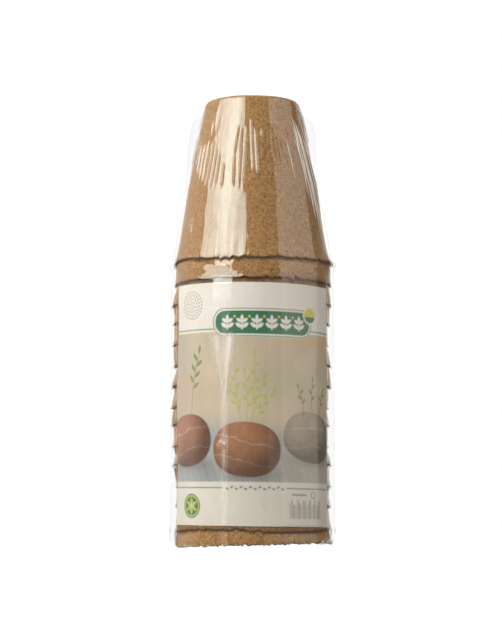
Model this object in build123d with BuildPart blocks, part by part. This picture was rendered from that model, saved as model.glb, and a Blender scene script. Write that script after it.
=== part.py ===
"""A shrink-wrapped stack of fifteen round peat pots, upside down, with a card label under the film.

Millimetres, +Z up. The origin is at the middle of the stack, on the plane that the lowest rim stands on.
The label faces -Y. Pot 1 is the top one and pot 15 stands on the floor.
"""

import math
import os

from build123d import *

# The pot: its size across the rim and the base, its height, and the pressed wall.
pot_count = 15
pot_height = 85.0
rim_diameter = 80.0
base_diameter = 49.6
wall_thickness = 1.25
base_thickness = 2.0
base_corner_radius = 2.3
inner_corner_radius = 1.3
rim_edge_radius = 0.35
drain_hole_diameter = 6.0

# How the pots sit in each other: each rides this far off the cone of the next.
nest_clearance = 0.27

# The loosest pots sit two fifths higher than the tightest. Top pair first, one for each pair,
# and a longer stack goes through them again.
nest_step_shares = (1.17, 1.26, 1.09, 1.26, 1.22, 1.22, 1.26, 1.00, 1.26, 1.09, 1.26, 1.13, 1.40, 1.04)

# The card label, curved round the front of the rims and facing -Y.
label_thickness = 0.25
label_clearance = 0.3
label_above_floor = 10.5
label_below_top_rim = 12.7
label_half_angle = 66.5
label_facing_angle = -90.0

# The film: a hood that is closed over the top pot and open at the floor, with a welded seam down each side.
film_thickness = 0.25
film_clearance = 0.1
film_crown_clearance = 0.3
film_hem_above_floor = 0.8
seam_width = 1.5
seam_thickness = 0.3
ear_width = 5.0
ear_height = 23.0
ear_tip_below_top = 5.0
ear_below_crown = 7.0

# What follows from them.
rim_radius = rim_diameter / 2
base_radius = base_diameter / 2
taper = (rim_radius - base_radius) / pot_height
wall_across = wall_thickness * math.sqrt(1 + taper**2)
mouth_radius = rim_radius - wall_across
inner_base_height = pot_height - base_thickness
inner_base_radius = mouth_radius - taper * inner_base_height
tightest_step = (wall_across + nest_clearance) / taper
steps = [tightest_step * nest_step_shares[pair % len(nest_step_shares)] for pair in range(pot_count - 1)]
rim_heights = [sum(steps[pot:]) for pot in range(pot_count)]
top_rim_height = rim_heights[0]
stack_height = top_rim_height + pot_height

label_inner_radius = rim_radius + label_clearance
label_outer_radius = label_inner_radius + label_thickness
label_height = top_rim_height - label_below_top_rim - label_above_floor
label_start_angle = label_facing_angle - label_half_angle
film_inner_radius = label_outer_radius + film_clearance
film_outer_radius = film_inner_radius + film_thickness
film_gap = film_inner_radius - rim_radius
crown_inner_height = stack_height + film_crown_clearance
crown_outer_height = crown_inner_height + film_thickness
ear_top = crown_outer_height - ear_below_crown
ear_foot = ear_top - ear_height
ear_tip = ear_top - ear_tip_below_top


def upright_plane(height):
    """The plane through the stack's axis whose x is the radius and whose y is the height above the given one."""
    return Plane(origin=(0, 0, height), x_dir=(1, 0, 0), z_dir=(0, -1, 0))


def pot_outer_radius(height):
    """The pot's outer radius at a height above its own rim."""
    return rim_radius - taper * height


def film_cone_radius(height, wall_offset):
    """The film's radius at a height above the floor, on the cone round the top pot."""
    return pot_outer_radius(height - top_rim_height) + wall_offset


def hood_outline(side_offset, hem_height, crown_height):
    """Half of the hood's outline: up the straight side, up the cone, in along the crown and down the axis."""
    side_radius = rim_radius + side_offset
    crown_radius = film_cone_radius(crown_height, side_offset)
    with BuildSketch(upright_plane(0)) as outline:
        with BuildLine():
            Polyline(
                (0, hem_height),
                (side_radius, hem_height),
                (side_radius, top_rim_height),
                (crown_radius, crown_height),
                (0, crown_height),
                close=True,
            )
        make_face()
        shoulder = outline.vertices().group_by(Axis.Y)[-1].sort_by(Axis.X)[-1]
        fillet(shoulder, radius=base_corner_radius)
    return outline.sketch


os.makedirs("parts", exist_ok=True)


# The pots: a tapered cup turned upside down, with its flat base on top and its mouth below.
for number, rim_height in enumerate(rim_heights, start=1):
    with BuildPart() as pot:
        with BuildSketch(upright_plane(rim_height)):
            with BuildLine():
                Polyline(
                    (0, pot_height),
                    (base_radius, pot_height),
                    (rim_radius, 0),
                    (mouth_radius, 0),
                    (inner_base_radius, inner_base_height),
                    (0, inner_base_height),
                    close=True,
                )
            make_face()
            fillet(vertices().group_by(Axis.Y)[1].sort_by(Axis.X)[-1], radius=inner_corner_radius)
            fillet(vertices().group_by(Axis.Y)[-1].sort_by(Axis.X)[-1], radius=base_corner_radius)
            fillet(vertices().group_by(Axis.Y)[0], radius=rim_edge_radius)
        revolve(axis=Axis.Z)
        with Locations(Plane.XY.offset(rim_height + pot_height)):
            Hole(radius=drain_hole_diameter / 2, depth=2 * base_thickness)

    pot.part.label = f"pot_{number:02d}"
    export_step(pot.part, f"parts/{pot.part.label}.step")


# The card label: a curved sheet that bridges from rim to rim across the front.
with BuildPart() as label_card:
    with BuildSketch(Plane.XY.offset(label_above_floor)):
        with BuildLine():
            outer_edge = CenterArc((0, 0), label_outer_radius, label_start_angle, 2 * label_half_angle)
            inner_edge = CenterArc((0, 0), label_inner_radius, label_start_angle, 2 * label_half_angle)
            Line(outer_edge @ 0, inner_edge @ 0)
            Line(outer_edge @ 1, inner_edge @ 1)
        make_face()
    extrude(amount=label_height)

label_card.part.label = "label_card"
export_step(label_card.part, "parts/label_card.step")


# The film: the hood is turned whole, gets a thin welded seam down each side, and is then hollowed.
with BuildPart() as film_wrap:
    outer_offset = film_gap + film_thickness
    revolve(hood_outline(outer_offset, film_hem_above_floor, crown_outer_height), axis=Axis.Z)

    with BuildSketch(upright_plane(0)):
        with BuildLine():
            Polyline(
                (0, film_hem_above_floor),
                (film_outer_radius + seam_width, film_hem_above_floor),
                (film_outer_radius + seam_width, top_rim_height),
                (film_cone_radius(ear_foot, outer_offset) + seam_width, ear_foot),
                (film_cone_radius(ear_tip, outer_offset) + ear_width, ear_tip),
                (film_cone_radius(ear_top, outer_offset), ear_top),
                (0, ear_top),
                close=True,
            )
        make_face()
        mirror(about=Plane.YZ)
    extrude(amount=seam_thickness / 2, both=True)

    revolve(
        hood_outline(film_gap, -film_hem_above_floor, crown_inner_height),
        axis=Axis.Z,
        mode=Mode.SUBTRACT,
    )

film_wrap.part.label = "film_wrap"
export_step(film_wrap.part, "parts/film_wrap.step")

print("stack height", round(stack_height, 2), "nest steps", [round(step, 2) for step in steps])
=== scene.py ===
"""The looks of a shrink-wrapped stack of fifteen peat pots with a card label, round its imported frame."""
import math

import bpy
import numpy as np
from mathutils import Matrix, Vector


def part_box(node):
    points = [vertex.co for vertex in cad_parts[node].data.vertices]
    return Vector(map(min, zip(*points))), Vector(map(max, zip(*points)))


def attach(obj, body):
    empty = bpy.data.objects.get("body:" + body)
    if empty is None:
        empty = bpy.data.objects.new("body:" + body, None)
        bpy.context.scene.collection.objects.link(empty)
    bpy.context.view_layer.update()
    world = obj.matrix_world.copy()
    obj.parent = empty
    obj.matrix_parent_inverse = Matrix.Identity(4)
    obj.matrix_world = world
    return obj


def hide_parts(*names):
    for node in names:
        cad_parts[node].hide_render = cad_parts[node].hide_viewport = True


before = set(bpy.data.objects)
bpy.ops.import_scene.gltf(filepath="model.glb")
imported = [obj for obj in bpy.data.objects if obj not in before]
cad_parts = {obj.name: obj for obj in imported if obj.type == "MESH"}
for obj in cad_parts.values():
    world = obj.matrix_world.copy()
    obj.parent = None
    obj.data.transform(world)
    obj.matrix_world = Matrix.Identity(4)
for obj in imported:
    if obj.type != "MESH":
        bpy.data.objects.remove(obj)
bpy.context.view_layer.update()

# Lengths are in metres. An azimuth is measured from -Y, where the label faces, towards +X.
mm = 0.001
pot_count = 15
pot_height = 85.0 * mm
rim_radius = 40.0 * mm
base_radius = 24.8 * mm
wall_across = 1.27 * mm
base_thickness = 2.0 * mm
base_corner_radius = 2.3 * mm
inner_corner_radius = 1.3 * mm
drain_hole_radius = 3.0 * mm
drain_hole_dish = 0.3 * mm
lip_height = 1.2 * mm
taper = (rim_radius - base_radius) / pot_height
cone_lean = math.atan(taper)

# How far the pressed wall stands off the straight cone: it flares at the rim and bulges at half height.
shape_heights = np.array([0, 3, 7, 13, 25, 40, 62, 77, 85]) * mm
shape_offsets = np.array([0, -0.15, -0.3, -0.4, -0.1, 0.25, 0.1, -0.6, -0.75]) * mm
shape_softness = 2.5 * mm

# The band that a lower pot shows below the next rim: its fullest radius, where that lies as a share of the
# way up to the next rim, and how far the wall turns in down to the pot's own rim and up to the next.
band_radius = 39.85 * mm
band_middle = 0.2
band_turn_down = 0.4 * mm
band_turn_up = 1.35 * mm

# The torn rims: how far the edge wanders, how rough it is, how high up the wall it is felt, how far the
# wall flares out there, and how far the top pot's and the lowest pot's rims tilt.
rim_wander = 0.2 * mm
rim_roughness = 0.5 * mm
rim_reach = 7 * mm
rim_flare_size = 0.22 * mm
rim_flare_most = 0.3 * mm
rim_flare_reach = 9 * mm
top_rim_tilt = 0.75 * mm
top_rim_rise = 2.3 * mm
floor_rim_tilt = 1.1 * mm

# The tears of the top pot's rim: azimuth in radians, width in radians and height in millimetres.
top_rim_tears = (
    (-0.72, 0.03, 0.675), (-0.485, 0.022, 1.215), (-0.41, 0.014, -0.81), (-0.36, 0.03, 1.08),
    (-0.29, 0.012, -0.945), (-0.245, 0.02, 1.215), (-0.18, 0.014, -0.675), (-0.1, 0.05, 0.54),
    (0.12, 0.06, -0.405), (0.33, 0.03, 0.675),
)

# The pressed surface: slow waves, lumps, grain outside and inside, fray at the edge, and how high up the
# wall the fray and the darker colour at the torn edge reach.
wall_wander = 0.05 * mm
wall_lumps = 0.025 * mm
outer_grain = 0.022 * mm
inner_grain = 0.015 * mm
fray_size = 0.07 * mm
fray_reach = 2 * mm
torn_reach = 0.9 * mm

# How far the stack bulges out of round at its left and right: height above the floor and bulge, both in
# millimetres.
left_bulges = (
    (0, -1.2), (8, -0.7), (12, -1.1), (31, -1.4), (35, -0.7), (40, 0.8), (46, -0.4), (50, 0.7), (55, 0.2),
    (61, 1.1), (70, 1.4), (78, 0.6), (82, 1.2), (90, -0.3), (95, 0.4), (101, 1.1), (106, 0.2), (111, 0.9),
    (117, 0), (122, 1.3), (131, 0), (138, -0.4), (143, 0.2),
)
right_bulges = (
    (0, -0.3), (4, -0.6), (9, 0), (14, -0.7), (20, -0.5), (25, -1.0), (30, -0.3), (34, -0.8), (42, -0.1),
    (48, -1.1), (52, -1.8), (60, -1.0), (66, -1.2), (71, -1.6), (79, -0.5), (83, 0.2), (91, 0.1), (99, -0.7),
    (103, -1.5), (112, -0.9), (117, -0.4), (122, 0.4), (132, 0.3), (138, 0.2), (143, 1.0),
)

label_half_angle = math.radians(66.5)
label_left_spare = math.radians(2.2)
label_inner_radius = 40.3 * mm
label_thickness = 0.25 * mm
label_bottom = 10.5 * mm
label_top = 130.76 * mm
label_tilt = 0.6 * mm
label_sag = 0.25 * mm
label_wave = 0.07 * mm

# How far the film stands off what it covers, and how deep it dips between two rims.
film_over_rim = 0.5 * mm
film_over_pot = 0.22 * mm
film_over_label = 0.09 * mm
film_over_cone = 0.32 * mm
film_dip = 0.8 * mm
film_slack = 0.012 * mm
film_hem = 0.6 * mm
film_edge_follow = 0.7
film_columns = 720
film_row_shares = (0, 0.04, 0.1, 0.18, 0.28, 0.38, 0.48, 0.58, 0.67, 0.75, 0.83, 0.9, 0.935, 0.97)

# The film's pleats at the front of the top pot: azimuth in degrees and height in millimetres of the lower
# and the upper end, and a share of the full height of a pleat.
front_pleats = (
    ((-71, 197), (-71, 214), 0.7), ((-66, 191), (-66, 210), 0.8), ((-61, 186), (-61, 207), 0.9),
    ((-56, 183.5), (-55, 206), 1.0), ((-51, 182), (-49.5, 208), 1.0), ((-46.5, 181), (-44.5, 205), 1.05),
    ((-42, 180), (-40, 210), 1.0), ((-37.5, 179.5), (-35.5, 204), 1.0), ((-33, 180), (-31.5, 200), 0.8),
    ((-27, 179), (-26.5, 194), 0.7), ((-43, 211), (-43.6, 224), 0.55), ((-37.5, 206), (-36, 218), 0.6),
    ((-48, 208), (-48, 217), 0.5), ((-17.5, 195), (-13.6, 213), 0.8), ((-16.5, 179), (-17, 197), 0.8),
    ((-11.5, 178), (-11, 212), 1.1), ((-8, 176), (-6, 211), 1.1), ((0.9, 186), (-1.7, 217), 1.1),
    ((5, 184), (2.7, 212), 1.1), ((9.5, 205), (9.3, 211), 0.45), ((18, 196), (17, 207), 0.4),
    ((24, 192), (21, 212), 0.6), ((27.5, 190), (24, 209), 0.6), ((31, 196), (29, 206), 0.45),
    ((40, 205), (37, 213), 0.55), ((36, 186), (33, 201), 0.4),
)

# The pressed folds at the right of the top pot, given in the same way.
right_folds = (
    ((57, 176), (48, 214), 0.8), ((63, 165), (49, 219), 1.0), ((68.5, 160), (53, 217), 1.3),
    ((73.5, 158), (56, 215), 1.1), ((79, 166), (61, 213), 0.9), ((84, 172), (67, 211), 0.9),
    ((71, 190), (64, 222), 0.7), ((41, 184), (36, 206), 0.5), ((52, 196), (47, 207), 0.5),
    ((78, 214), (60, 228), 1.0), ((84, 211), (67, 227), 0.9), ((87, 142.6), (67, 146), 1.0),
    ((84, 146), (72, 143), 0.7),
)
fold_size = 0.42 * mm
fold_sunk = 0.06 * mm
fold_wander = 0.12 * mm

# The film's creases over the label, given in the same way, but with their real height and width.
label_creases = (
    ((14, 13), (2, 24), 0.07 * mm, 1.4 * mm), ((33, 118), (40, 140), 0.14 * mm, 0.4 * mm),
    ((28, 142), (39, 134), 0.14 * mm, 0.4 * mm), ((54, 26), (50, 96), 0.14 * mm, 1.8 * mm),
)

# Painted glints where the film's creases over the label would catch the lamp: two limbs that meet in a line,
# a small star and small glints. Each gives the two ends as above, the half width at each end in millimetres,
# and how white it gets.
painted_glint_streaks = (
    ((-20.2, 72), (-26.6, 103), 0.35, 3.4, 0.52), ((-20.1, 71), (-16.4, 103), 0.4, 2.0, 0.78),
    ((-20.2, 57), (-20.1, 75), 0.3, 0.4, 0.45), ((-20.5, 37), (-20.3, 48), 0.3, 0.45, 0.4),
    ((-21.2, 19), (-20.6, 26), 0.3, 0.6, 0.5), ((-25.2, 50.6), (-22.8, 52.4), 0.5, 0.8, 0.5),
    ((-22.8, 52.2), (-19.8, 51.2), 0.9, 0.6, 0.6), ((-19.8, 51.3), (-17.0, 52.8), 0.5, 0.25, 0.5),
    ((-21.6, 52.5), (-20.2, 56.6), 0.4, 0.2, 0.6), ((-19.4, 52.8), (-18.2, 55.2), 0.3, 0.2, 0.45),
    ((-23.5, 50.4), (-24.6, 48.6), 0.3, 0.2, 0.35), ((-18.2, 51.4), (-17.2, 49.2), 0.25, 0.2, 0.35),
)
white_swell = 0.008 * mm

# How far the welded seams stand out: height above the floor and width, in millimetres.
fin_widths = (
    (0, 1.3), (140, 1.3), (158, 1.6), (176, 0.9), (190, 1.8), (204, 3.2), (213, 4.4), (218, 4.7), (223, 0.2),
)
fin_top = 223 * mm
fin_row_height = 1.2 * mm
fin_knot_size = 1.6 * mm

# The height of each pot's rim, by the pot's number.
rim_heights = {number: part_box(f"pot_{number:02d}")[0].z for number in range(1, pot_count + 1)}
top_rim = rim_heights[1]
stack_top = top_rim + pot_height


# Shared curves and noise.
def smooth_step(low, high, value):
    """0 below low, 1 above high and an even slope between."""
    share = np.clip((value - low) / (high - low), 0, 1)
    return share * share * (3 - 2 * share)


def between(start, full, fade, end, value):
    """1 from full to fade, and 0 before start and after end."""
    return smooth_step(start, full, value) * (1 - smooth_step(fade, end, value))


def bell(off, wide):
    """1 where off is 0, and falling away to both sides."""
    return np.exp(-((off / wide) ** 2))


def fading(value, reach):
    """1 at 0, and falling evenly to 0 at reach."""
    return np.clip(1 - value / reach, 0, 1)


def blend(colours, ink, amount):
    """Colours moved towards an ink by a share for each point."""
    return colours + np.subtract(ink, colours) * amount[..., None]


def along_line(x, y, start, end):
    """How far along and beside a line each place lies, and the line's length."""
    run_x, run_y = end[0] - start[0], end[1] - start[1]
    length = math.hypot(run_x, run_y)
    along = ((x - start[0]) * run_x + (y - start[1]) * run_y) / length
    beside = ((x - start[0]) * run_y - (y - start[1]) * run_x) / length
    return along, beside, length


def shape_table():
    """The wall's offset from the straight cone at many heights, rounded off between its named points."""
    heights = np.linspace(-20 * mm, 105 * mm, 1251)
    offsets = np.interp(heights, shape_heights, shape_offsets)
    step = heights[1] - heights[0]
    reach = np.arange(-3 * shape_softness, 3 * shape_softness, step)
    kernel = np.exp(-0.5 * (reach / shape_softness) ** 2)
    padded = np.pad(offsets, len(kernel) // 2, mode="edge")
    return heights, np.convolve(padded, kernel / kernel.sum(), mode="valid")[: len(heights)]


table_heights, table_offsets = shape_table()


def wall_shape(height):
    """The wall's offset from the straight cone at a height above its own rim."""
    return np.interp(height, table_heights, table_offsets)


def wall_radius(height):
    """The outer radius of a pot at a height above its own rim."""
    return rim_radius - taper * height + wall_shape(height)


def outer_radius(number, height):
    """The outer radius of one of the pots. Below the next rim a lower pot bulges."""
    if number == 1:
        return wall_radius(height)
    pitch = rim_heights[number - 1] - rim_heights[number]
    off = np.clip(height / pitch, 0, 1) - band_middle
    turn_down = band_turn_down * (off / band_middle) ** 2
    turn_up = band_turn_up * (off / (1 - band_middle)) ** 2
    band = band_radius - np.where(off < 0, turn_down, turn_up)
    return band + (wall_radius(height) - band) * smooth_step(pitch, 1.4 * pitch, height)


def drift(rng, azimuth, height, count, most_turns, tallest):
    """Smooth wandering of about unit size that closes on itself round the axis."""
    total = 0
    for _ in range(count):
        turns = int(rng.integers(0, most_turns + 1))
        pace = rng.uniform(-1, 1) * math.tau / tallest
        total = total + np.cos(turns * azimuth + pace * height + rng.uniform(0, math.tau))
    return total * math.sqrt(2 / count)


def ragged(rng, azimuth, low, high, count, roughness):
    """A torn line round the rim: many waves of low to high turns, the fine ones weaker."""
    total = 0
    for _ in range(count):
        turns = round(math.exp(rng.uniform(math.log(low), math.log(high))))
        total = total + np.cos(turns * azimuth + rng.uniform(0, math.tau)) * (low / turns) ** roughness
    return total / math.sqrt(count)


def mottled(rng, x, y, size):
    """Even patches of about unit size, from random numbers on a square lattice that repeats."""
    cells = 96
    lattice = rng.normal(size=(cells, cells))
    across, up = x / size + 300.5, y / size + 300.5
    column, row = np.floor(across).astype(int), np.floor(up).astype(int)
    share_x, share_y = smooth_step(0, 1, across - column), smooth_step(0, 1, up - row)
    lines = []
    for line in (row % cells, (row + 1) % cells):
        left, right = lattice[line, column % cells], lattice[line, (column + 1) % cells]
        lines.append(left * (1 - share_x) + right * share_x)
    return lines[0] * (1 - share_y) + lines[1] * share_y


def side_bulge(azimuth, height):
    """How far the stack stands out of round: as listed at its sides, by chance behind."""
    across = np.sin(azimuth)
    left, right = (np.interp(height / mm, *np.transpose(bulges)) for bulges in (left_bulges, right_bulges))
    side = smooth_step(0.9, 0.985, np.abs(across)) * np.where(across > 0, right, left)
    behind = smooth_step(0.2, 0.6, -np.cos(azimuth))
    uneven = 0.35 * drift(np.random.default_rng(61), azimuth, height, 24, 6, 14 * mm)
    return mm * (side + behind * uneven) * (1 - smooth_step(top_rim, top_rim + 6 * mm, height))


def rim_flare(number, azimuth, height):
    """How far a pot's wall turns out towards its rim, at a height above it."""
    flare = rim_flare_size * ragged(np.random.default_rng(200 + number), azimuth, 2, 12, 7, 0.5)
    return fading(height, rim_flare_reach) ** 2 * np.clip(flare, -rim_flare_most, rim_flare_most)


def rim_edge(number, azimuth):
    """How far the torn edge of a pot's rim stands above its nominal height."""
    rng = np.random.default_rng(100 + number)
    slow = ragged(rng, azimuth, 3, 16, 8, 0.6)
    fast = ragged(rng, azimuth, 24, 150, 48, 0.25)
    patches = smooth_step(-0.6, 1.2, drift(rng, azimuth, 0, 8, 22, 1))
    edge = rim_wander * slow + rim_roughness * fast * (0.35 + patches)
    for _ in range(22):
        middle = rng.uniform(-math.pi, math.pi)
        width = rng.uniform(0.01, 0.05)
        tear = rng.uniform(-0.4, 1.0) * mm
        edge = edge + tear * bell(np.angle(np.exp(1j * (azimuth - middle))), width)
    if number == 1:
        edge = edge + top_rim_tilt * np.sin(azimuth) + top_rim_rise * bell(azimuth + 1.13, 0.42)
        for middle, width, tear in top_rim_tears:
            edge = edge + tear * mm * bell(azimuth - middle, width)
    if number == 14:
        edge = edge + 0.8 * mm * np.cos(3 * azimuth + 1.9) - 0.6 * mm
    if number == pot_count:
        edge = np.maximum(edge + floor_rim_tilt * (1 + np.sin(azimuth)) + 0.1 * mm, 0.05 * mm)
    return edge


# Meshes.
def place(radius, azimuth, height):
    """Points at a radius, azimuth and height, as an array whose last side is x, y and z."""
    radius, azimuth, height = np.broadcast_arrays(radius, azimuth, height)
    return np.stack([radius * np.sin(azimuth), -radius * np.cos(azimuth), height], axis=-1)


def grid_faces(rows, columns, ring=False, closed=False, flip=False):
    """The quads of a grid of points. ring joins its last column to its first, and closed its rows."""
    row = np.arange(rows if closed else rows - 1)[:, None]
    column = np.arange(columns if ring else columns - 1)[None, :]
    low, high = row * columns, (row + 1) % rows * columns
    next_column = (column + 1) % columns
    corners = [low + column, low + next_column, high + next_column, high + column]
    return np.stack(corners[::-1] if flip else corners, axis=-1).reshape(-1, 4).tolist()


def add_object(name, data):
    """A new object in the scene that holds the data."""
    piece = bpy.data.objects.new(name, data)
    bpy.context.scene.collection.objects.link(piece)
    return piece


def make_piece(name, points, faces, attributes=None):
    """A smooth mesh object. Each attribute holds one number or one colour for each point."""
    mesh = bpy.data.meshes.new(name)
    mesh.from_pydata(points.reshape(-1, 3).tolist(), [], faces)
    mesh.polygons.foreach_set("use_smooth", [True] * len(mesh.polygons))
    for key, values in (attributes or {}).items():
        if values.ndim == 1:
            layer = mesh.attributes.new(key, "FLOAT", "POINT")
            layer.data.foreach_set("value", values.astype(np.float32))
        else:
            layer = mesh.color_attributes.new(key, "FLOAT_COLOR", "POINT")
            opaque = np.ones((len(values), 1))
            layer.data.foreach_set("color", np.hstack([values, opaque]).astype(np.float32).ravel())
    return add_object(name, mesh)


class Patchwork:
    """A mesh that is put together from patches, with one number or one colour for each point."""

    def __init__(self, value_size=()):
        self.value_size = value_size
        self.points, self.faces, self.values = [], [], []

    def add(self, points, faces, values):
        """Adds a patch whose faces count its own points. A single value stands for all of them."""
        first = sum(map(len, self.points))
        self.points.append(points.reshape(-1, 3))
        self.faces += [[first + corner for corner in face] for face in faces]
        self.values.append(np.broadcast_to(values, (len(self.points[-1]), *self.value_size)))

    def make(self, name, key):
        """The object, with the values as its attribute."""
        return make_piece(name, np.concatenate(self.points), self.faces, {key: np.concatenate(self.values)})


def fit_piece(piece, body, slot, material, *nodes):
    """Gives a piece its body and its material, and the nodes that it stands for. slot is not used."""
    piece.data.materials.append(material)
    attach(piece, body)
    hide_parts(*nodes)


# The peat pots.
def pot_profile(number, wall_rows, inner_rows, base_rows):
    """A pot's section as a closed loop of radius and height, from the drain hole out and down."""
    centre_height = pot_height - base_corner_radius
    centre_radius = rim_radius - base_corner_radius * math.sqrt(1 + taper**2) - taper * centre_height
    turns = np.linspace(math.pi / 2, cone_lean, 6)
    corner_heights = centre_height + base_corner_radius * np.sin(turns)
    corner_radii = centre_radius + base_corner_radius * np.cos(turns) + wall_shape(corner_heights)

    base_radii = np.linspace(drain_hole_radius, corner_radii[0], base_rows)[:-1]
    base_heights = np.full(len(base_radii), pot_height)
    base_heights[0] -= drain_hole_dish

    # The wall's rows lie closer together towards the rim.
    down = 1 - (1 - np.linspace(0, 1, wall_rows + 1)[1:]) ** 1.35
    wall_heights = corner_heights[-1] + (lip_height - corner_heights[-1]) * down
    wall_radii = outer_radius(number, wall_heights)

    mouth_radius = rim_radius - wall_across
    lip_shares = np.array([0.05, 0.14, 0.3, 0.55, 0.82, 0.97])
    lip_radii = wall_radii[-1] + lip_shares * (mouth_radius - wall_radii[-1])
    lip_heights = np.array([0.75, 0.36, 0.1, 0, 0.06, 0.45]) * mm

    inner_top = pot_height - base_thickness
    inner_heights = np.linspace(lip_height, inner_top - inner_corner_radius, inner_rows)
    inner_radii = mouth_radius - taper * inner_heights + 0.6 * wall_shape(inner_heights + 10 * mm)
    inside_start = inner_radii[-1] - inner_corner_radius
    inside_radii = np.linspace(inside_start, drain_hole_radius, max(base_rows // 2, 4))
    inside_heights = np.full(len(inside_radii), inner_top)

    outside = (base_radii, corner_radii, wall_radii)
    radii = np.concatenate([*outside, lip_radii, inner_radii, inside_radii])
    heights = [base_heights, corner_heights, wall_heights, lip_heights, inner_heights, inside_heights]
    outer = np.zeros(len(radii))
    outer[: sum(len(part) for part in outside)] = 1
    return radii, np.concatenate(heights), outer


def painted_shade_under_rim(number, azimuth, height, rng):
    """How much painted shade darkens a place on a lower pot's wall under the next rim."""
    pitch = rim_heights[number - 1] - rim_heights[number]
    over = pitch + rim_edge(number - 1, azimuth)
    deep = smooth_step(-0.9, 0.9, drift(rng, azimuth, 0, 8, 12, 1)) * 1.1 * mm
    if number == 3:
        deep = deep + 1.8 * mm
    under = smooth_step(over - 1.3 * mm - deep, over - 0.4 * mm, height)
    if number == 2:
        under = under * (1 - 0.6 * between(0.15, 0.4, 0.95, 1.2, azimuth))
    beside = smooth_step(0.93, 0.985, np.abs(np.sin(azimuth)))
    return under * (1 - 0.5 * beside) * (1 - smooth_step(pitch, 2 * pitch, height))


def make_pot(number, columns, wall_rows, inner_rows, base_rows, material):
    """One peat pot with a torn rim, an uneven pressed wall and a drain hole."""
    rng = np.random.default_rng(number)
    azimuth = np.linspace(-math.pi, math.pi, columns, endpoint=False)[None, :]
    radii, heights, outer = (row[:, None] for row in pot_profile(number, wall_rows, inner_rows, base_rows))
    shape = (len(radii), columns)
    height = heights + rim_edge(number, azimuth) * fading(heights, rim_reach) ** 2

    along = np.roll(heights, -1) - np.roll(heights, 1)
    across = np.roll(radii, -1) - np.roll(radii, 1)
    length = np.hypot(along, across)

    slow = drift(rng, azimuth, height, 14, 7, 60 * mm)
    lumps = drift(rng, azimuth, height, 40, 60, 8 * mm)
    grain = rng.normal(size=shape)
    swell = outer * (wall_wander * slow + wall_lumps * lumps + outer_grain * grain)
    swell = swell + (1 - outer) * inner_grain * grain
    swell = swell + rim_flare(number, azimuth, heights) * (2 * outer - 1)
    swell = swell + fading(heights, fray_reach) * fray_size * rng.normal(size=shape)

    radius = radii - along / length * swell + side_bulge(azimuth, height + rim_heights[number])
    height = height + across / length * swell * 0.5
    if number == pot_count:
        height = np.maximum(height, 0.02 * mm)
    points = place(radius, azimuth, height + rim_heights[number])

    torn = np.broadcast_to(fading(heights, torn_reach), shape)
    # Painted shade: a lower pot's wall is darkened under the next rim, where that rim's shadow falls.
    painted_rim_shade = outer * painted_shade_under_rim(number, azimuth, height, rng) if number > 1 else np.zeros(shape)
    looks = {"torn": torn.ravel(), "painted_rim_shade": painted_rim_shade.ravel()}
    faces = grid_faces(*shape, ring=True, closed=True)
    node = f"pot_{number:02d}"
    fit_piece(make_piece(f"peat_{node}", points, faces, looks), node, "peat", material, node)


# The film.
def label_side(azimuth):
    """1 in front of the label, 0 beside it."""
    left, right = -label_half_angle, label_half_angle
    return between(left - 0.13, left - 0.04, right, right + 0.09, azimuth)


def label_share(azimuth, height):
    """1 where the film lies on the label, 0 away from it."""
    low, high = label_bottom, label_top
    up = between(low - 3 * mm, low + 0.5 * mm, high - 0.5 * mm, high + 4.5 * mm, height)
    return label_side(azimuth) * up


def hug(share):
    """How deep the film dips on its way up between two rims: it turns out again under the upper one."""
    turn = 0.91
    return (1 - fading(share, turn) ** 2) * (1 - smooth_step(turn, 1, share))


def film_bands(azimuth, rng):
    """Radii and heights of the film's rows from the hem up to the top pot's rim."""
    over = rim_radius + film_over_rim
    over_label = label_inner_radius + label_thickness + film_over_label
    radii, heights = [], []
    for number in range(pot_count, 1, -1):
        low = rim_heights[number] + film_edge_follow * rim_edge(number, azimuth)
        high = rim_heights[number - 1] + film_edge_follow * rim_edge(number - 1, azimuth)
        depth = film_dip * (1 + 0.2 * drift(rng, azimuth, 0, 6, 5, 1))
        if number == pot_count:
            low = np.maximum(low, film_hem)
            depth = 0.15 * depth
        elif number > 2:
            depth = depth * (1 - label_side(azimuth))
        for share in film_row_shares:
            height = low + share * (high - low)
            on_label = label_share(azimuth, height)
            slack = film_slack * math.sin(math.pi * share) ** 2
            radius = over + (over_label - over) * on_label - depth * hug(share) - slack * on_label
            above_rim = height - rim_heights[number]
            pot = outer_radius(number, above_rim) + rim_flare(number, azimuth, above_rim)
            bulge = side_bulge(azimuth, height)
            bulge = bulge + on_label * (np.maximum(bulge, 0) - bulge)
            radii.append(np.maximum(radius, pot + film_over_pot) + bulge)
            heights.append(height)
    return radii, heights


def film_cone(azimuth):
    """Radii and heights of the film's rows from the top pot's rim to the middle of its base."""
    edge = film_edge_follow * rim_edge(1, azimuth)
    shoulder = base_corner_radius + film_over_cone
    centre_height = pot_height - base_corner_radius
    cone_top = centre_height + shoulder * math.sin(cone_lean)
    radii, heights = [], []
    for share in np.linspace(0, 1, 68):
        height = share * cone_top
        lift = film_over_cone + 0.1 * mm * (1 - smooth_step(0, 3 * mm, height))
        radii.append(wall_radius(height) + lift + side_bulge(azimuth, top_rim + height))
        heights.append(top_rim + height + edge * (1 - share) ** 6)
    centre_radius = radii[-1] - shoulder * math.cos(cone_lean)
    for turn in np.linspace(cone_lean, math.pi / 2, 8)[1:]:
        radii.append(centre_radius + shoulder * math.cos(turn))
        heights.append(np.full(len(azimuth), top_rim + centre_height + shoulder * math.sin(turn)))
    crown_radius = radii[-1]
    for share in np.linspace(1, 0.02, 18)[1:]:
        radii.append(crown_radius * share)
        heights.append(heights[-1])
    return radii, heights


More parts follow.
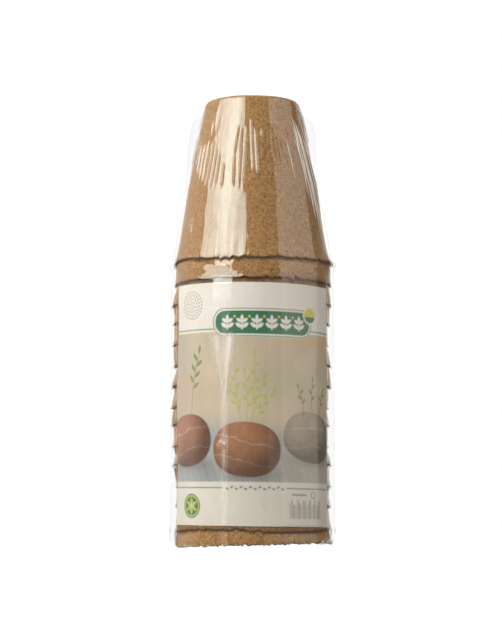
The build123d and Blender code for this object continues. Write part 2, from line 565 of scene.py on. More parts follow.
def add_crease(swell, azimuth, height, start, end, tall, wide, blunt=0.25):
    """Adds one crease between two places, each an azimuth in degrees and a height in millimetres."""
    middle_height = (start[1] + end[1]) / 2 * mm
    radius = rim_radius if middle_height < top_rim else float(wall_radius(middle_height - top_rim))
    start, end = ((math.radians(spot[0]) * radius, spot[1] * mm) for spot in (start, end))
    along, beside, length = along_line(azimuth * radius, height, start, end)
    tapered = between(0, blunt * length, (1 - blunt) * length, length, along)
    swell += tall * tapered * bell(beside, wide)


def pleats(rng):
    """The film's pleats round the top pot: start, end, height and width of each."""
    found = []
    for low, high, share in front_pleats:
        found.append((low, high, share * rng.uniform(0.62, 0.8) * mm, rng.uniform(0.4, 0.52) * mm))
    for low, high, share in right_folds:
        found.append((low, high, 0.3 * share * mm, 0.6 * mm))
    for corner in (60, 66, 72, 79):
        found.append(((corner, 212), (corner + 2.5, 227), rng.uniform(0.4, 0.6) * mm, 0.45 * mm))
    for glint in (-63, -60.5, -58):
        found.append(((glint, 168), (glint + 2.5, 156), 0.4 * mm, 0.4 * mm))
    azimuth = 96.0
    while azimuth < 280:
        top = rng.uniform(205, 219)
        start = (azimuth, rng.uniform(178, 195))
        tall = rng.uniform(0.3, 0.65) * mm
        found.append((start, (azimuth + rng.uniform(-2, 2), top), tall, rng.uniform(0.4, 0.55) * mm))
        azimuth += rng.uniform(3.0, 6.5)
    for corner in (86, 91, 262, 268, 275):
        found.append(((corner, 205), (corner + 1.5, 226), 0.6 * mm, 0.5 * mm))
    return found


def stripe_bulges(azimuth, height):
    """Two soft bulges of the film on the cone, which turn the edge of the lamp's reflection."""
    up = smooth_step(top_rim + 10 * mm, stack_top - 12 * mm, height)
    upper = 0.28 * mm * up * bell(azimuth - math.radians(-10.7), 0.14)
    lower = 0.32 * mm * (1 - up) * bell(azimuth - math.radians(0.7), 0.14)
    return np.where(height > top_rim, upper + lower, 0)


def painted_glints(azimuth, height):
    """How white the film is painted over the label, as painted glints."""
    white = np.zeros(azimuth.shape)
    for start, end, start_wide, end_wide, strength in painted_glint_streaks:
        start, end = ((math.radians(spot[0]) * rim_radius, spot[1] * mm) for spot in (start, end))
        along, beside, length = along_line(azimuth * rim_radius, height, start, end)
        share = np.clip(along / length, 0, 1)
        away = np.hypot(beside, along - share * length)
        wide = (start_wide + (end_wide - start_wide) * share) * mm
        fading = 0.55 + 0.45 * smooth_step(0.25, 0.9, share)
        white = np.maximum(white, strength * fading * bell(away, wide))
    return white


def film_fold(start, end, size, radii, heights, rng):
    """A pressed fold that stands on the film between two places: a thin bead, thickest half way."""
    along = np.linspace(0, 1, 44)
    azimuth = np.radians(start[0] + (end[0] - start[0]) * along)
    height = (start[1] + (end[1] - start[1]) * along) * mm
    columns = np.round((azimuth + math.pi) / math.tau * film_columns).astype(int) % film_columns
    spots = zip(height, columns)
    under = np.array([np.interp(level, heights[:, column], radii[:, column]) for level, column in spots])
    thick = fold_size * size * np.sin(math.pi * along) ** 0.6 * (1 + 0.2 * drift(rng, 0, along, 6, 0, 0.3))
    azimuth = azimuth + fold_wander / under * drift(rng, 0, along, 6, 0, 0.35)
    turns = np.radians(np.linspace(-90, 90, 9))[:, None]
    return place(under + thick * np.cos(turns) - fold_sunk, azimuth + thick * np.sin(turns) / under, height)


def film_fin(side, radii, heights, rng):
    """The welded seam down one side of the film, from the hem to the ear. side is -1 or 1."""
    column = round(film_columns * (0.5 + 0.25 * side)) % film_columns
    rows = np.stack([radii[:, column], heights[:, column]], axis=-1)
    rows = rows[(rows[:, 1] < fin_top) & (rows[:, 0] > 20 * mm)]
    up = np.arange(rows[0, 1], rows[-1, 1], fin_row_height)
    close = np.interp(up, rows[:, 1], rows[:, 0])
    width = np.interp(up / mm, *np.transpose(fin_widths)) * mm
    wave = drift(rng, 0, up, 12, 0, 9 * mm)
    sway = drift(rng, 0, up, 8, 0, 40 * mm)
    knots = sum(bell(up - rim_heights[pot], fin_knot_size) for pot in (1, 14))
    straight = np.maximum(rim_radius + film_over_rim + width, close + 0.5 * mm)
    edge = np.where(up > top_rim, close + width, straight) + 0.1 * mm * wave + 0.6 * mm * knots
    share = np.linspace(0, 1, 5)[:, None]
    lean = 0.25 * mm * wave * share + 0.5 * mm * sway * share**2
    out = close + (edge - close) * share
    haze_and_painted_glints = -0.3 + 0.36 * share**4 + 0.02 * share * wave + 0.5 * share * knots
    return np.stack([side * out, lean, np.broadcast_to(up, out.shape)], axis=-1), haze_and_painted_glints.ravel()


def film_fringe(radii, heights, rng):
    """Small crimped teeth of film that hang from the hem, most of them at the right of the front."""
    points = []
    places = np.concatenate([rng.uniform(56, 94, 170), rng.uniform(-180, 180, 40)])
    longest = np.concatenate([np.full(170, 3.2), np.full(40, 1.5)])
    for azimuth, reach in zip(np.radians(places), longest):
        column = int((azimuth + math.pi) / math.tau * film_columns) % film_columns
        foot = float(heights[0][column]) + rng.uniform(0, 0.5) * mm
        radius = float(radii[0][column]) + rng.uniform(0, 0.25) * mm
        half = rng.uniform(0.2, 0.45) * mm / radius
        tip = max(foot + rng.uniform(-0.4, reach) * mm, 0.15 * mm)
        lean = rng.uniform(-0.9, 0.9) * mm / radius
        points.append(place(radius, azimuth - half, foot))
        points.append(place(radius, azimuth + half, foot))
        points.append(place(radius + rng.uniform(0.1, 1.5) * mm, azimuth + lean, tip))
    faces = np.arange(len(points)).reshape(-1, 3).tolist()
    return np.array(points), faces, np.tile([1.0, 1.0, 0.8], len(faces))


def make_film(material):
    """The shrink film: it hugs the rims, lies over the label and is pleated round the top pot."""
    rng = np.random.default_rng(7)
    azimuth = np.linspace(-math.pi, math.pi, film_columns, endpoint=False)
    bands, cone = film_bands(azimuth, rng), film_cone(azimuth)
    radii, heights = (np.array(low + high) for low, high in zip(bands, cone))
    around = np.broadcast_to(azimuth, radii.shape)

    swell = np.zeros(radii.shape)
    wrapped = np.where(around < math.radians(-76), around + math.tau, around)
    for pleat in pleats(rng):
        add_crease(swell, wrapped if pleat[0][0] > 80 else around, heights, *pleat)
    ridges = np.clip(swell / (0.4 * mm), 0, 1) ** 2
    for crease in label_creases:
        add_crease(swell, around, heights, *crease, blunt=0.12)
    # Painted glints over the label, where the film's creases would catch the lamp.
    white = painted_glints(around, heights)
    swell += white_swell * white + stripe_bulges(around, heights)
    loose = np.clip(radii / (20 * mm), 0, 1) ** 2 * (1 - 0.85 * label_share(around, heights))
    swell += loose * 0.01 * mm * drift(rng, around, heights, 40, 70, 9 * mm)
    swell += loose * 0.025 * mm * drift(rng, around, heights, 16, 14, 40 * mm)

    flat = (heights > stack_top) & (radii < base_radius - 2 * mm)
    rumple = 0.08 * mm * drift(rng, around, radii, 20, 24, 12 * mm) + 0.4 * swell
    radius = np.where(flat, radii, radii + swell)
    height = heights + np.where(flat, rumple, 0)
    # How white the film is: a faint haze, whiter pleat ridges that stack to folds at the right where the
    # white is partly painted highlight, a white hem, and the painted glints over the label.
    stacked = between(math.radians(46), math.radians(60), 1.9, 2.2, wrapped)
    hem_haze = 0.3 * fading(heights, 1.5 * mm)
    haze_and_painted_glints = 0.006 + ridges * (0.02 + 0.2 * stacked) + hem_haze + white
    middle = list(range(radii.size - film_columns, radii.size))

    film = Patchwork()
    film.add(place(radius, around, height), [*grid_faces(*radii.shape, ring=True), middle], haze_and_painted_glints.ravel())
    for side in (-1, 1):
        points, fin_haze = film_fin(side, radius, height, rng)
        film.add(points, grid_faces(*points.shape[:2]), fin_haze)
    # The pressed folds are white: partly the film's pressed layers, partly a painted highlight.
    for low, high, size in right_folds:
        points = film_fold(low, high, size, radius, height, rng)
        film.add(points, grid_faces(*points.shape[:2]), 0.85)
    film.add(*film_fringe(radius, height, rng))
    fit_piece(film.make("shrink_film", "haze_and_painted_glints"), "wrap", "film", material, "film_wrap")


# The label's print, painted on its points. Its places are in millimetres, along the card from its middle
# and up.
ink_card = (0.88, 0.835, 0.77)
# The card's colour low on the label: darker than above, a painted shade as if the light fell from above.
ink_card_low_painted_shade = (0.79, 0.745, 0.665)
ink_green = (0.035, 0.20, 0.095)
ink_leaf = (0.20, 0.30, 0.07)
ink_lime = (0.50, 0.56, 0.16)
ink_yellow = (0.78, 0.68, 0.05)
ink_clay = (0.34, 0.15, 0.08)
ink_rust = (0.37, 0.165, 0.075)
ink_taupe = (0.36, 0.29, 0.22)
ink_slate = (0.33, 0.37, 0.385)
ink_grey = (0.30, 0.285, 0.255)
ink_haze = (0.65, 0.55, 0.40)
ink_shadow = (0.2, 0.17, 0.15)
card_back = (0.42, 0.36, 0.28)
card_edge = (0.6, 0.56, 0.48)
picture_bottom, picture_top = 21.6, 96.0
page_side = 60
board_width = 9.0


class Print:
    """The colours of the print, and the shapes that are painted over them."""

    def __init__(self, x, y):
        self.x = x
        self.y = y
        # The card fades to its darker colour towards the bottom: painted shade.
        self.colours = blend(ink_card_low_painted_shade, ink_card, smooth_step(60, 100, y))

    def inside(self, distance, blur=0.22):
        """1 inside a shape whose signed distance is given, with an even edge."""
        return np.clip(0.5 - distance / (2 * blur), 0, 1)

    def fill(self, ink, distance, strength=1.0, blur=0.22):
        """Paints a shape whose signed distance is given."""
        self.colours = blend(self.colours, ink, strength * self.inside(distance, blur))

    def disc(self, x, y, radius):
        """The signed distance to a disc."""
        return np.hypot(self.x - x, self.y - y) - radius

    def slab(self, left, right, bottom, top, corner=0.0):
        """The signed distance to a rectangle with rounded corners."""
        across = np.abs(self.x - (left + right) / 2) - (right - left) / 2 + corner
        along = np.abs(self.y - (bottom + top) / 2) - (top - bottom) / 2 + corner
        outside = np.hypot(np.maximum(across, 0), np.maximum(along, 0))
        return outside + np.minimum(np.maximum(across, along), 0) - corner

    def leaf(self, x, y, length, width, turn):
        """The signed distance to a pointed leaf that starts at a place and points along turn, in degrees."""
        cos, sin = math.cos(math.radians(turn)), math.sin(math.radians(turn))
        along = (self.x - x) * cos + (self.y - y) * sin - length / 2
        across = np.abs(-(self.x - x) * sin + (self.y - y) * cos)
        radius = (length**2 / 4 + width**2 / 4) / width
        return np.hypot(along, across + radius - width / 2) - radius

    def stroke(self, start, end, width, bow=0.0):
        """The signed distance to a thin line between two places that bows sideways."""
        along, beside, length = along_line(self.x, self.y, start, end)
        share = np.clip(along / length, 0, 1)
        return np.hypot(beside - 4 * bow * share * (1 - share), along - share * length) - width / 2


def paint_ground(art, rng):
    """The picture's ground: warm haze with pale discs out of focus above, and blue-grey boards below."""
    cloud = 0.6 * mottled(rng, art.x, art.y, 22) + 0.4 * mottled(rng, art.x, art.y, 9)
    ground = (1 + 0.05 * cloud)[..., None] * ink_haze
    ground = blend(ground, (0.5, 0.45, 0.38), 0.6 * smooth_step(-24, -44, art.x))
    ground = blend(ground, (0.74, 0.48, 0.22), 0.75 * bell(art.x - 44, 22) * bell(art.y - 92, 3))
    for x, y, reach, amount, ink in (
        (-37, 66, 15, 0.5, (0.66, 0.48, 0.35)), (12, 74, 15, 0.35, (0.53, 0.5, 0.33)),
        (35, 76, 13, 0.4, (0.68, 0.59, 0.43)),
    ):
        away = np.hypot(art.x - x, art.y - y)
        ground = blend(ground, ink, amount * smooth_step(reach, 0.4 * reach, away))
    for x, y, reach in (
        (27, 80, 6.0), (38, 70, 4.2), (21, 66, 3.4), (-14, 84, 4.6), (-5, 74, 3.0), (33, 86, 3.2),
    ):
        ground = blend(ground, (0.74, 0.65, 0.49), 0.34 * art.inside(art.disc(x, y, reach), 0.7))

    table = 1 - smooth_step(40, 56, art.y + 2 * np.sin(art.x / 17))
    slant = art.x + 0.35 * (art.y - picture_bottom)
    board = np.floor(slant / board_width)
    tone = 1.12 + 0.07 * np.sin(board * 2.4) + 0.06 * mottled(rng, slant, art.y / 14, 0.8)
    seam = bell((slant / board_width - board - 0.5) * board_width, 0.35)
    boards = (tone * (1 - 0.22 * seam))[..., None] * ink_slate
    return blend(ground, boards, table * (0.9 - 0.45 * smooth_step(-5, 40, art.x)))


def paint_stone(art, rng, x, y, half, tall, turn, ink):
    """One rounded stone lit from the upper left, with specks, a pale vein and a soft shadow under it."""
    cos, sin = math.cos(math.radians(turn)), math.sin(math.radians(turn))
    across = ((art.x - x) * cos + (art.y - y) * sin) / half
    up = (-(art.x - x) * sin + (art.y - y) * cos) / tall
    shadow = bell(art.x - x - 3, 1.05 * half) * bell(art.y - y + 0.92 * tall, 3.4)
    art.colours = blend(art.colours, ink_shadow, 0.6 * shadow)

    reach = np.sqrt(np.abs(across) ** 2.3 + np.abs(up) ** 2.3)
    body = art.inside((reach - 1) * min(half, tall), 0.3)
    towards = np.sqrt(np.clip(1 - across**2 - up**2, 0, 1))
    light = np.clip(-0.5 * across + 0.55 * up + 0.67 * towards, 0, 1)
    specks, grain, patches = (mottled(rng, art.x, art.y, size) for size in (0.55, 2.6, 7))
    shade = ((0.42 + 0.9 * light) * (1 + 0.07 * specks + 0.05 * grain + 0.07 * patches))[..., None]
    colours = shade * ink
    for level, bend in ((0.3, 1.7), (-0.42, 2.6)):
        wander = 0.14 * np.sin(bend * across + x) + 0.03 * grain
        vein = bell(up - level - wander, 0.028)
        colours = blend(colours, shade * ink_card, 0.2 * vein)
    art.colours = blend(art.colours, colours, body)


def paint_sprig(art, foot, top, bow, leaves, size, ink):
    """One sprig: a thin bowed stem with small pointed leaves on either side by turns, and one at its tip."""
    art.fill(ink, art.stroke(foot, top, 0.42, bow), 0.85)
    run = np.subtract(top, foot)
    heading = math.degrees(math.atan2(run[1], run[0]))
    for leaf in range(leaves):
        share = 0.42 + 0.55 * leaf / leaves
        side = 4 * bow * share * (1 - share) / math.hypot(*run)
        x = foot[0] + run[0] * share + run[1] * side
        y = foot[1] + run[1] * share - run[0] * side
        art.fill(ink, art.leaf(x, y, size, size * 0.36, heading + (42 if leaf % 2 else -42)), 0.9)
    art.fill(ink, art.leaf(*top, size * 0.9, size * 0.34, heading), 0.9)


def paint_scene(art, rng):
    """The picture: three stones on boards in front of pale discs of light, and sprigs behind them."""
    inside = art.inside(art.slab(-page_side, page_side, picture_bottom, picture_top))
    bare = art.colours
    art.colours = paint_ground(art, rng)
    paint_stone(art, rng, 32, 44, 16.5, 12.5, -8, ink_taupe)
    paint_stone(art, rng, -37, 42, 15.5, 13.0, 6, ink_clay)
    for foot, top, bow in (
        (-7, 71, 1.6), (-4.5, 80, -1.4), (-2, 75, 0.8), (0.5, 84, 1.2), (3, 72, -1.0), (5.5, 66, -1.8),
    ):
        paint_sprig(art, (-2 + 0.45 * foot, 46), (1.9 * foot, top), bow, 5, 3.6, ink_lime)
    paint_stone(art, rng, -3, 37.5, 17.0, 13.5, -4, ink_rust)
    art.colours = blend(bare, art.colours, inside)
    paint_sprig(art, (-34, 55), (-29, 85), -1.2, 6, 5.0, ink_leaf)
    for foot, top, bow in (
        ((27, 55), (24, 68), 0.8), ((33, 56), (33.5, 72), -0.6), ((39, 55), (42, 67), -0.8),
    ):
        paint_sprig(art, foot, top, bow, 3, 3.2, ink_leaf)


def paint_rules(art):
    """The rules over and under the picture, the lower one with a row of small leaves in its middle."""
    for ink, bottom, top, strength in (
        ((0.86, 0.82, 0.62), picture_top - 0.5, picture_top + 0.5, 1.0),
        (ink_green, picture_top + 0.8, picture_top + 1.25, 1.0), (ink_green, 18.4, 18.95, 0.85),
    ):
        art.fill(ink, art.slab(-page_side, page_side, bottom, top), strength)
    # A patch of the card's low colour, with its painted shade, behind the row of leaves.
    art.fill(ink_card_low_painted_shade, art.slab(-15, 17, 17.2, 20.0))
    for step in range(13):
        art.fill(ink_green, art.leaf(-13.4 + 2.3 * step, 18.6, 1.9, 0.9, 25 if step % 2 else -25), 0.85)


def paint_ribbon(art):
    """The green ribbon with its row of pale sprigs, and a half sun at its end."""
    ribbon = art.slab(-19, 31, 94.6, 106.0, 5.2)
    art.fill(ink_card, ribbon - 1.5)
    art.fill(ink_green, np.abs(ribbon - 1.1) - 0.2)
    art.fill(ink_green, ribbon)
    for step in range(6):
        x = -12.6 + 7.4 * step
        art.fill(ink_card, art.slab(x - 0.4, x + 0.4, 96.6, 101.0, 0.3))
        for foot, length, width, turn in (
            (97.6, 4.0, 1.9, 35), (100.2, 3.4, 1.7, 35), (97.6, 4.0, 1.9, 145), (100.2, 3.4, 1.7, 145),
            (100.6, 3.6, 1.6, 90),
        ):
            art.fill(ink_card, art.leaf(x, foot, length, width, turn))
        if step < 5:
            art.fill(ink_yellow, art.disc(x + 3.7, 103.2, 0.6))
    sun = art.disc(31.5, 105.0, 3.7)
    art.fill(ink_card, sun - 0.9)
    art.fill(ink_yellow, sun)
    art.fill(ink_green, np.maximum(sun, art.y - 104.2))


def paint_marks(art):
    """The small marks: a rosette of dots above, and blades, a bar, a ring and a flower badge below."""
    for ring, count in ((0, 1), (1.7, 6), (3.4, 12), (5.1, 18), (6.8, 24)):
        for dot in range(count):
            turn = math.tau * dot / count + ring
            spot = art.disc(-34 + ring * math.cos(turn), 109.5 + ring * math.sin(turn), 0.5)
            art.fill(ink_grey, spot, 0.8, 0.3)

    for blade in range(19):
        x = 19.0 + 1.12 * blade
        tall = 7.2 + 1.6 * math.sin(1.9 * blade)
        wide = 0.42 + 0.22 * (blade * 7 % 3)
        art.fill(ink_grey, art.stroke((x, 4.2), (x, 4.2 + tall), wide), 0.85)
    art.fill(ink_grey, np.abs(art.disc(33.5, 15.6, 1.5)) - 0.3, 0.8)
    art.fill(ink_grey, art.slab(20, 29, 15.1, 16.1, 0.5), 0.8)

    badge_x, badge_y = -34, 9.6
    badge = art.disc(badge_x, badge_y, 6.0)
    art.fill(ink_green, badge)
    art.fill(ink_yellow, np.abs(badge + 1.0) - 0.3)
    for petal in range(6):
        art.fill(ink_lime, art.leaf(badge_x, badge_y, 4.4, 1.8, 30 + 60 * petal))
    art.fill(ink_yellow, art.disc(badge_x, badge_y, 0.9))


def make_label(material):
    """The card label: a curved sheet with its print, a plain back and thin edges."""
    rng = np.random.default_rng(13)
    rows, columns = 416, 330
    across = np.linspace(0, 1, columns)[None, :]
    up = np.linspace(0, 1, rows)[:, None]
    left = -label_half_angle - label_left_spare * (0.65 + 0.3 * drift(rng, 0, up, 5, 0, 0.45))
    azimuth = left + (label_half_angle - left) * across
    turned = azimuth / label_half_angle
    height = label_bottom + (label_top - label_bottom) * up - label_tilt * turned
    height = height + label_sag * (1 - up) * turned**2
    wave = label_wave * drift(rng, azimuth, height, 10, 4, 90 * mm)
    wave = np.clip(wave, -0.12 * mm, 0.06 * mm) + np.maximum(side_bulge(azimuth, height), 0)

    y = up * (label_top - label_bottom) / mm * np.ones((1, columns))
    art = Print(azimuth * label_inner_radius / mm, y)
    paint_scene(art, np.random.default_rng(31))
    paint_rules(art)
    paint_ribbon(art)
    paint_marks(art)

    label = Patchwork((3,))
    front = place(label_inner_radius + label_thickness + wave, azimuth, height)
    label.add(front, grid_faces(rows, columns), art.colours.reshape(-1, 3))
    inner = place(label_inner_radius + wave, azimuth, height)
    row_picks = np.linspace(0, rows - 1, 24).round().astype(int)
    column_picks = np.linspace(0, columns - 1, 60).round().astype(int)
    back = inner[row_picks][:, column_picks]
    label.add(back, grid_faces(*back.shape[:2], flip=True), card_back)
    for outer_line, inner_line in (
        (front[0], inner[0]), (front[-1][::-1], inner[-1][::-1]), (front[:, 0][::-1], inner[:, 0][::-1]),
        (front[:, -1], inner[:, -1]),
    ):
        label.add(np.stack([inner_line, outer_line]), grid_faces(2, len(inner_line)), card_edge)
    fit_piece(label.make("card_label", "print"), "wrap", "card", material, "label_card")


# Materials.
class Nodes:
    """Short calls that add nodes to a material or world and join them."""

    def __init__(self, owner):
        owner.use_nodes = True
        self.tree = owner.node_tree
        self.tree.nodes.clear()

    def add(self, kind, *values, settings=None, **inputs):
        """Adds a node, sets its properties, and sets or links its inputs by place or by name."""
        node = self.tree.nodes.new(f"ShaderNode{kind}")
        for key, value in (settings or {}).items():
            setattr(node, key, value)
        for index, value in enumerate(values):
            self.feed(node, index, value)
        for key, value in inputs.items():
            self.feed(node, key.replace("_", " "), value)
        return node

    def feed(self, node, key, value):
        """Sets an input, or links it to an output. A node stands for its first output."""
        if isinstance(value, bpy.types.Node):
            value = value.outputs[0]
        if isinstance(value, bpy.types.NodeSocket):
            self.tree.links.new(value, node.inputs[key])
        else:
            node.inputs[key].default_value = value

    def attribute(self, name):
        """A number that a piece holds for each of its points."""
        return self.add("Attribute", settings={"attribute_name": name}).outputs["Fac"]

    def math(self, operation, *values, clamp=False):
        """One step of arithmetic."""
        return self.add("Math", *values, settings={"operation": operation, "use_clamp": clamp})

    def noise(self, vector, scale, detail=3.0, roughness=0.55, distortion=0.0):
        """The value of a noise texture."""
        looks = {"Scale": scale, "Detail": detail, "Roughness": roughness, "Distortion": distortion}
        return self.add("TexNoise", vector, **looks).outputs["Fac"]

    def stretch(self, vector, x, y, z):
        """A vector scaled along its three axes."""
        return self.add("Mapping", vector, Scale=(x, y, z))

    def ramp(self, value, *stops):
        """A colour ramp of places and colours."""
        node = self.add("ValToRGB", value)
        while len(node.color_ramp.elements) < len(stops):
            node.color_ramp.elements.new(0.5)
        for element, (spot, colour) in zip(node.color_ramp.elements, stops):
            element.position = spot
            element.color = (*colour, 1)
        return node

    def mix(self, share, first, second, blend_type="MIX"):
        """Two colours mixed."""
        node = self.add("Mix", share, settings={"data_type": "RGBA", "blend_type": blend_type})
        for key, value in ((6, first), (7, second)):
            self.feed(node, key, (*value, 1) if isinstance(value, tuple) else value)
        return node.outputs[2]

    def mask(self, value, low, high):
        """A value spread so that low becomes 0 and high becomes 1."""
        return self.add("MapRange", value, low, high, settings={"interpolation_type": "SMOOTHSTEP"})

    def bump(self, height, strength, distance):
        """A surface normal that follows a height."""
        return self.add("Bump", Height=height, Strength=strength, Distance=distance)


def peat_material():
    """Pressed peat and wood fibre: mottled brown with straw and dark specks, and a felted surface."""
    material = bpy.data.materials.new("pressed_peat")
    nodes = Nodes(material)
    place_in = nodes.add("TexCoord").outputs["Object"]
    own = nodes.add("ObjectInfo").outputs["Random"]
    spot = nodes.add("VectorMath", place_in, own, settings={"operation": "ADD"})

    cloud = nodes.noise(spot, 55, 3)
    mottle = nodes.noise(spot, 620, 4, 0.7)
    lines = nodes.noise(nodes.stretch(spot, 1, 1, 3.2), 700, 3, 0.6, 0.4)
    straw = nodes.noise(nodes.stretch(spot, 1, 1, 2.4), 850, 2, 0.5, 1.5)
    specks = nodes.noise(spot, 1250, 2, 0.5)

    dark, middle, pale = (0.29, 0.147, 0.043), (0.47, 0.253, 0.084), (0.6, 0.355, 0.13)
    colour = nodes.ramp(mottle, (0.34, dark), (0.5, middle), (0.66, pale))
    tint = nodes.mix(0.35, colour, (0.54, 0.27, 0.088))
    colour = nodes.mix(nodes.mask(cloud, 0.4, 0.68), colour, tint)
    between_fibres = nodes.mix(0.45, colour, (0.24, 0.122, 0.045))
    colour = nodes.mix(nodes.mask(lines, 0.44, 0.62), between_fibres, colour)
    colour = nodes.mix(nodes.mask(straw, 0.62, 0.72), colour, (0.66, 0.43, 0.19))
    colour = nodes.mix(nodes.mask(specks, 0.58, 0.68), colour, (0.17, 0.08, 0.028))
    colour = nodes.mix(nodes.math("MULTIPLY", nodes.attribute("torn"), 0.6), colour, (0.12, 0.06, 0.025))
    # Painted shade under each rim: the wall's colour is darkened towards a deep brown.
    in_painted_rim_shade = nodes.math("MULTIPLY", nodes.attribute("painted_rim_shade"), 0.93)
    colour = nodes.mix(in_painted_rim_shade, colour, (0.075, 0.036, 0.013))

    relief = nodes.math("MULTIPLY_ADD", mottle, 0.7, nodes.math("MULTIPLY", lines, 0.6))
    bump = nodes.bump(nodes.math("MULTIPLY_ADD", straw, 0.5, relief), 0.75, 0.5 * mm)
    looks = {"Roughness": 0.92, "Specular_IOR_Level": 0.18}
    shader = nodes.add("BsdfPrincipled", Base_Color=colour, Normal=bump, **looks)
    nodes.add("OutputMaterial", shader)
    return material


def card_material():
    """Printed card: the print's colours with faint paper fibres and a satin surface."""
    material = bpy.data.materials.new("printed_card")
    nodes = Nodes(material)
    place_in = nodes.add("TexCoord").outputs["Object"]
    printed = nodes.add("VertexColor", settings={"layer_name": "print"})
    fibres = nodes.noise(nodes.stretch(place_in, 1, 1, 1.6), 900, 3, 0.6)
    soft = nodes.noise(place_in, 60, 2)
    tone = nodes.ramp(fibres, (0.3, (0.94, 0.935, 0.925)), (0.7, (1, 1, 1)))
    wash = nodes.ramp(soft, (0.35, (0.955, 0.95, 0.94)), (0.65, (1, 1, 1)))
    colour = nodes.mix(1.0, nodes.mix(1.0, printed, tone, "MULTIPLY"), wash, "MULTIPLY")
    bump = nodes.bump(nodes.math("MULTIPLY_ADD", fibres, 0.4, soft), 0.25, 0.3 * mm)
    looks = {"Roughness": nodes.math("MULTIPLY_ADD", fibres, 0.15, 0.42), "Specular_IOR_Level": 0.3}
    shader = nodes.add("BsdfPrincipled", Base_Color=colour, Normal=bump, **looks)
    nodes.add("OutputMaterial", shader)
    return material


def film_material():
    """Clear shrink film: see-through with a sharp gloss that grows at a slant, and a little white haze; the
    same white paints glints over the label and part of the folds' highlights.
    """
    material = bpy.data.materials.new("clear_shrink_film")
    nodes = Nodes(material)
    place_in = nodes.add("TexCoord").outputs["Object"]
    facing = nodes.add("LayerWeight", Blend=0.5).outputs["Facing"]
    haze_and_painted_glints = nodes.attribute("haze_and_painted_glints")
    layers = nodes.math("MULTIPLY_ADD", haze_and_painted_glints, 0.2, 0.11)
    gloss_share = nodes.math("MULTIPLY_ADD", nodes.math("POWER", facing, 5.0), 0.8, layers, clamp=True)
    scuffs = nodes.noise(nodes.stretch(place_in, 1, 1, 0.4), 260, 3, 0.6)
    roughness = nodes.math("MULTIPLY_ADD", scuffs, 0.05, 0.03)
    bump = nodes.bump(nodes.noise(place_in, 620, 3), 0.04, 0.4 * mm)
    looks = {"Color": (1, 0.95, 0.9, 1), "Roughness": roughness, "Normal": bump}
    gloss = nodes.add("BsdfGlossy", **looks)
    clear = nodes.add("BsdfTransparent")
    film = nodes.add("MixShader", gloss_share, clear, gloss)
    white = nodes.add("BsdfDiffuse", Color=(0.98, 0.93, 0.84, 1))
    haze_and_glint_share = nodes.math("MULTIPLY", haze_and_painted_glints, nodes.math("MULTIPLY_ADD", scuffs, 0.8, 0.6), clamp=True)
    nodes.add("OutputMaterial", nodes.add("MixShader", haze_and_glint_share, film, white))
    return material


# The stage: floor, room light, lamps and camera.
def make_floor():
    """A white floor that shows white to the camera and keeps the object's shadow."""
    half = 6.0
    points = np.array([(-half, -half, 0), (half, -half, 0), (half, half, 0), (-half, half, 0)])
    floor = make_piece("studio_floor", points, [[0, 1, 2, 3]])
    material = bpy.data.materials.new("white_floor")
    nodes = Nodes(material)
    seen = nodes.add("LightPath").outputs["Is Camera Ray"]
    paint = nodes.add("BsdfDiffuse", Color=(0.2, 0.2, 0.2, 1))
    glow = nodes.add("Emission", Strength=nodes.math("MULTIPLY", seen, 0.94))
    nodes.add("OutputMaterial", nodes.add("AddShader", paint, glow))
    floor.data.materials.append(material)


def make_world():
    """White for the camera, a dim even room for its light, and in the gloss darker in front than behind."""
    world = bpy.data.worlds.new("studio")
    bpy.context.scene.world = world
    nodes = Nodes(world)
    room = 0.4
    front = 0.12
    path = nodes.add("LightPath").outputs
    way = nodes.add("TexCoord").outputs["Generated"]
    split = nodes.add("SeparateXYZ", way).outputs
    turned = nodes.math("MULTIPLY_ADD", split["X"], -0.42, nodes.math("MULTIPLY", split["Y"], 0.91))
    sideways = nodes.math("MULTIPLY_ADD", nodes.mask(turned, 0.15, 0.6), 0.5, front)
    mirrored = nodes.math("MULTIPLY_ADD", nodes.mask(split["Y"], 0.8, 0.98), 0.35, sideways)
    seen = nodes.math("ADD", path["Is Camera Ray"], path["Is Transmission Ray"], clamp=True)
    beyond_room = nodes.math("SUBTRACT", mirrored, room)
    glossy = nodes.math("MULTIPLY_ADD", path["Is Glossy Ray"], beyond_room, room)
    strength = nodes.math("MULTIPLY_ADD", seen, 1 - room, glossy)
    colour = nodes.mix(path["Is Diffuse Ray"], (1, 1, 1), (1.05, 1, 0.92))
    background = nodes.add("Background", Color=colour, Strength=strength)
    nodes.add("OutputWorld", background)


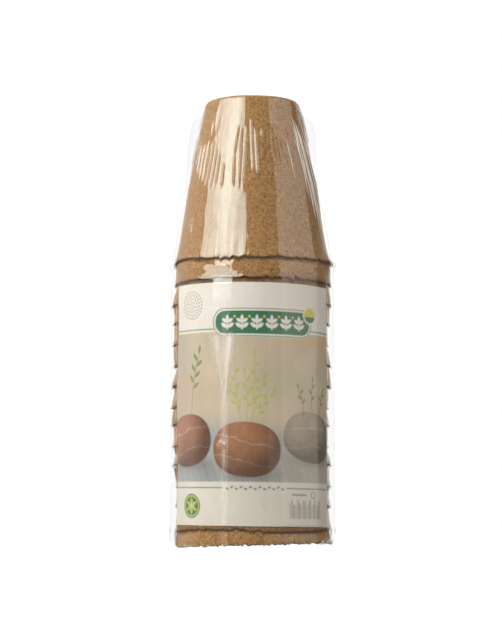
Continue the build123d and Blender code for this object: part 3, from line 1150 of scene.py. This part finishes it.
# Each lamp, an upright panel that faces the axis: azimuth in degrees, distance, height of its middle, width,
# height, radiance, outline, colour, roll in degrees, and whether it lights, shows in the gloss, or both.
cool = (0.88, 1.08, 1.1)
lamps = {
    "key_light": (-52, 1.65, 1.6, 2.8, 2.6, 4.3, "ELLIPSE", (1, 0.985, 0.955), 0, "light"),
    "key_softbox": (-52, 1.5, 1.61, 2.56, 2.34, 3.05, "ELLIPSE", (0.89, 1.06, 1.05), -8, "gloss"),
    "key_middle": (-49.5, 1.45, 1.06, 1.42, 0.66, 0.75, "ELLIPSE", cool, 0, "gloss"),
    "key_inner": (-47.5, 1.435, 1.06, 1.12, 0.66, 0.65, "ELLIPSE", cool, 0, "gloss"),
    "key_core": (-47.3, 1.42, 1.03, 0.46, 0.56, 1.0, "ELLIPSE", cool, 0, "gloss"),
    "key_lip": (-44.2, 1.5, 0.405, 0.76, 0.13, 4.4, "RECTANGLE", (0.97, 1.02, 0.98), 0, "gloss"),
    "key_tip": (-44.2, 1.5, 0.317, 0.76, 0.046, 0.9, "RECTANGLE", (0.95, 1.05, 1.2), 0, "gloss"),
    "key_foot": (-40.5, 1.5, 0.14, 0.3, 0.28, 0.7, "ELLIPSE", (1, 1, 1), 0, "gloss"),
    "right_light": (75, 1.65, 1.05, 2.15, 2.1, 0.82, "RECTANGLE", (1, 0.99, 0.97), 0, "light"),
    "right_reflector": (75, 1.5, 1.2, 1.95, 1.46, 0.84, "RECTANGLE", (1, 1, 0.98), 0, "gloss"),
    "right_low": (75, 1.5, 0.235, 1.95, 0.46, 0.3, "RECTANGLE", (1, 0.95, 0.82), 0, "gloss"),
    "right_low_wide": (63, 1.45, 0.235, 2.5, 0.46, 0.28, "RECTANGLE", (1, 0.95, 0.82), 0, "gloss"),
    "back_strip": (178, 1.5, 1.2, 0.42, 2.0, 2.0, "RECTANGLE", (1, 1, 1), 0, "both"),
}


def make_lamp(name, azimuth, distance, height, width, tall, radiance, shape, colour, roll, rays):
    """One lamp of the list above."""
    lamp = bpy.data.lights.new(name, "AREA")
    lamp.shape = shape
    lamp.size = width
    lamp.size_y = tall
    area = width * tall * (math.pi / 4 if shape == "ELLIPSE" else 1)
    lamp.energy = radiance * math.pi * area
    lamp.color = colour
    piece = add_object(name, lamp)
    turn = math.radians(azimuth)
    piece.location = (distance * math.sin(turn), -distance * math.cos(turn), height)
    piece.rotation_euler = (math.pi / 2, math.radians(roll), turn)
    piece.visible_camera = False
    piece.visible_diffuse = rays != "gloss"
    piece.visible_glossy = rays != "light"


# The camera: its lens in pixels of the picture, whose height is given, and its place and tilt.
picture_height = 642
lens_in_pixels = 2100
camera_place = (-0.76 * mm, -1071.0 * mm, 3.9 * mm)
camera_tilt = math.radians(5.95)


def make_camera():
    """A long lens close to the floor, tipped up, as the photograph was taken."""
    camera = bpy.data.cameras.new("camera")
    camera.sensor_width = 36.0
    camera.lens = lens_in_pixels / picture_height * camera.sensor_width
    camera.clip_start = 0.05
    piece = add_object("camera", camera)
    piece.location = camera_place
    piece.rotation_euler = (math.pi / 2 + camera_tilt, 0, 0)
    bpy.context.scene.camera = piece


# Columns of points round a pot, and rows up its wall, up its inside and across its base. The pots that show
# above and below the label have more of them.
coarse_grid = (300, 34, 14, 10)
fine_grid = (480, 48, 16, 14)
pot_grids = {1: (480, 72, 16, 14), 2: fine_grid, 14: fine_grid, 15: fine_grid}

peat = peat_material()
for number in range(1, pot_count + 1):
    make_pot(number, *pot_grids.get(number, coarse_grid), peat)
make_label(card_material())
make_film(film_material())

make_floor()
make_world()
for name, values in lamps.items():
    make_lamp(name, *values)
make_camera()
bpy.context.scene.view_settings.view_transform = "Standard"
